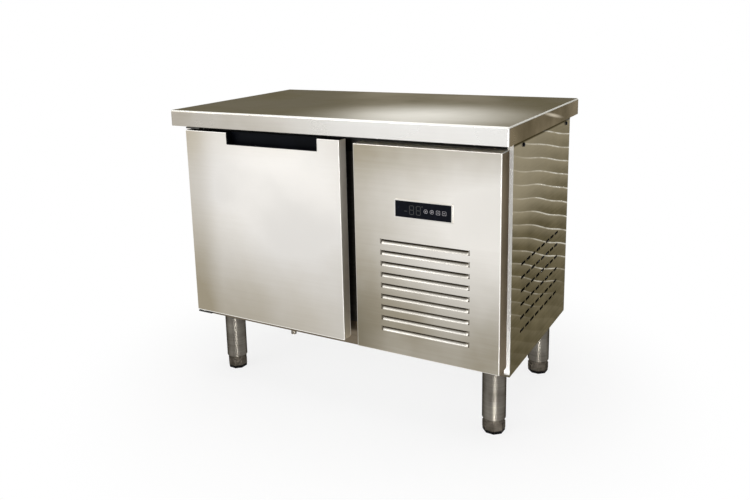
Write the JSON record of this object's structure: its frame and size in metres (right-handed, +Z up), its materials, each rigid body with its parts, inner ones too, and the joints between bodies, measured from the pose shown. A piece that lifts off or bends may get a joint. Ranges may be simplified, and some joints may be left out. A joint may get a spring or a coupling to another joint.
{
  "type": "refrigerated counter",
  "caption": "Free-standing stainless refrigerated counter with a hinged insulated door, a louvred machine bay, a flat worktop and round legs on screw feet.",
  "frame": {"origin": "on the floor under the middle of the worktop, with the feet fully screwed in", "axes": "+X to the right seen from the front, +Y to the back, +Z up"},
  "size_m": [1, 0.6, 0.81],
  "materials": {
    "brushed_stainless": "satin",
    "inner_stainless": "satin",
    "galvanised_sheet": "satin",
    "core_board": "matte",
    "insulation": "matte",
    "black_plastic": "satin",
    "pale_plastic": "satin",
    "gasket_rubber": "matte",
    "mount_rubber": "matte",
    "bearing_plastic": "satin",
    "bezel_silver": "gloss",
    "display_black": "gloss",
    "housing_plastic": "matte",
    "leg_steel": "satin",
    "zinc_steel": "satin",
    "wire_chrome": "gloss",
    "fin_aluminium": "satin",
    "fan_plastic": "satin",
    "motor_black": "satin",
    "copper": "satin"
  },
  "bodies": {
    "cabinet": {"worktop_skin": "brushed_stainless", "left_side_panel": "brushed_stainless", "right_side_panel": "brushed_stainless", "hinge_stile": "brushed_stainless", "mullion": "brushed_stainless", "top_rail": "brushed_stainless", "bottom_rail": "brushed_stainless", "machine_panel": "brushed_stainless", "inner_liner": "inner_stainless", "evaporator_cover": "inner_stainless", "shelf_rails": "inner_stainless", "drain_spigot": "inner_stainless", "back_panel": "galvanised_sheet", "bottom_panel": "galvanised_sheet", "partition_skin": "galvanised_sheet", "fan_shroud": "galvanised_sheet", "worktop_bearer": "galvanised_sheet", "worktop_core": "core_board", "insulation_foam": "insulation", "compressor_grommets": "mount_rubber", "controller_bezel": "bezel_silver", "controller_window": "display_black", "controller_housing": "housing_plastic", "electrical_box": "housing_plastic", "condensate_pan": "housing_plastic", "cable_gland": "housing_plastic", "leg_front_left": "leg_steel", "leg_front_right": "leg_steel", "leg_rear_left": "leg_steel", "leg_rear_right": "leg_steel", "top_hinge_bracket": "zinc_steel", "bottom_hinge_bracket": "zinc_steel", "case_screws": "zinc_steel", "leg_bolts": "zinc_steel", "wire_shelf": "wire_chrome", "fan_guard": "wire_chrome", "temperature_probe": "wire_chrome", "evaporator_coil": "fin_aluminium", "condenser_coil": "fin_aluminium", "evaporator_fan_motor": "motor_black", "condenser_fan_motor": "motor_black", "compressor": "motor_black", "filter_drier": "copper", "discharge_pipe": "copper", "suction_pipe": "copper", "liquid_pipe": "copper", "capillary_pipe": "copper"},
    "door": {"door_skin": "brushed_stainless", "door_liner": "pale_plastic", "door_foam": "insulation", "door_handle_cap": "black_plastic", "door_bottom_cap": "black_plastic", "door_gasket": "gasket_rubber", "hinge_bushes": "bearing_plastic"},
    "evaporator_fan": {"evaporator_fan": "fan_plastic"},
    "condenser_fan": {"condenser_fan": "fan_plastic"},
    "foot_front_left": {"foot_front_left": "leg_steel"},
    "foot_front_right": {"foot_front_right": "leg_steel"},
    "foot_rear_left": {"foot_rear_left": "leg_steel"},
    "foot_rear_right": {"foot_rear_right": "leg_steel"}
  },
  "joints": [
    {"name": "door_hinge", "type": "hinge", "parent": "cabinet", "child": "door", "pos_m": [-0.44, -0.278, 0.485], "axis": [0, 0, -1], "range_deg": [0, 110]},
    {"name": "evaporator_fan_spin", "type": "hinge", "parent": "cabinet", "child": "evaporator_fan", "pos_m": [-0.063, -0.0075, 0.601], "axis": [1, 0, 0], "continuous": true},
    {"name": "condenser_fan_spin", "type": "hinge", "parent": "cabinet", "child": "condenser_fan", "pos_m": [0.288, -0.13, 0.378], "axis": [0, 1, 0], "continuous": true},
    {"name": "foot_front_left_screw", "type": "slide", "parent": "cabinet", "child": "foot_front_left", "axis": [0, 0, -1], "range_m": [0, 0.04]},
    {"name": "foot_front_right_screw", "type": "slide", "parent": "cabinet", "child": "foot_front_right", "axis": [0, 0, -1], "range_m": [0, 0.04]},
    {"name": "foot_rear_left_screw", "type": "slide", "parent": "cabinet", "child": "foot_rear_left", "axis": [0, 0, -1], "range_m": [0, 0.04]},
    {"name": "foot_rear_right_screw", "type": "slide", "parent": "cabinet", "child": "foot_rear_right", "axis": [0, 0, -1], "range_m": [0, 0.04]}
  ]
}
